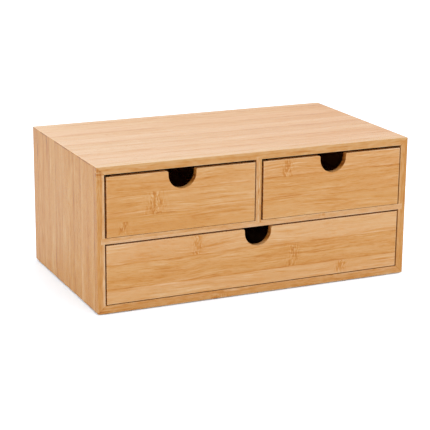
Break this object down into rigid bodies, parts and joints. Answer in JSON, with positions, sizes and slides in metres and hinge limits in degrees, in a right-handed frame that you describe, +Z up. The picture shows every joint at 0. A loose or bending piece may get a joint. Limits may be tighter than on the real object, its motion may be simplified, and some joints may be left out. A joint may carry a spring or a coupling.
{
  "type": "desktop mini drawers",
  "caption": "Bamboo desktop case with small drawers side by side over a full-width drawer, each opened by a finger notch in its front.",
  "frame": {"origin": "on the surface that the case stands on, under the middle of the case", "axes": "+X to the right along the case's width, +Y from the drawer fronts to the back, +Z up"},
  "size_m": [0.35, 0.2, 0.151],
  "materials": {
    "bamboo_top": "clear satin lacquer on plain-pressed bamboo",
    "bamboo_case": "clear satin lacquer on plain-pressed bamboo",
    "bamboo_side": "clear satin lacquer on plain-pressed bamboo",
    "bamboo_front": "clear satin lacquer on plain-pressed bamboo",
    "bamboo_box": "sanded bamboo, thin lacquer",
    "bamboo_floor": "sanded bamboo veneer board",
    "bamboo_back": "sanded bamboo veneer board",
    "brad_steel": "bright drawn wire",
    "pad_rubber": "matt moulded rubber"
  },
  "bodies": {
    "case": {"top_panel": "bamboo_top", "bottom_panel": "bamboo_case", "left_side": "bamboo_side", "right_side": "bamboo_side", "middle_shelf": "bamboo_case", "centre_divider": "bamboo_case", "back_panel": "bamboo_back", "back_brads": "brad_steel", "foot_pads": "pad_rubber"},
    "left_drawer": {"left_drawer_front": "bamboo_front", "left_drawer_left_side": "bamboo_box", "left_drawer_right_side": "bamboo_box", "left_drawer_back": "bamboo_box", "left_drawer_floor": "bamboo_floor", "left_drawer_brads": "brad_steel"},
    "right_drawer": {"right_drawer_front": "bamboo_front", "right_drawer_left_side": "bamboo_box", "right_drawer_right_side": "bamboo_box", "right_drawer_back": "bamboo_box", "right_drawer_floor": "bamboo_floor", "right_drawer_brads": "brad_steel"},
    "bottom_drawer": {"bottom_drawer_front": "bamboo_front", "bottom_drawer_left_side": "bamboo_box", "bottom_drawer_right_side": "bamboo_box", "bottom_drawer_back": "bamboo_box", "bottom_drawer_floor": "bamboo_floor", "bottom_drawer_brads": "brad_steel"}
  },
  "joints": [
    {"name": "left_drawer_slide", "type": "slide", "parent": "case", "child": "left_drawer", "axis": [0, -1, 0], "range_m": [0, 0.15]},
    {"name": "right_drawer_slide", "type": "slide", "parent": "case", "child": "right_drawer", "axis": [0, -1, 0], "range_m": [0, 0.15]},
    {"name": "bottom_drawer_slide", "type": "slide", "parent": "case", "child": "bottom_drawer", "axis": [0, -1, 0], "range_m": [0, 0.15]}
  ]
}
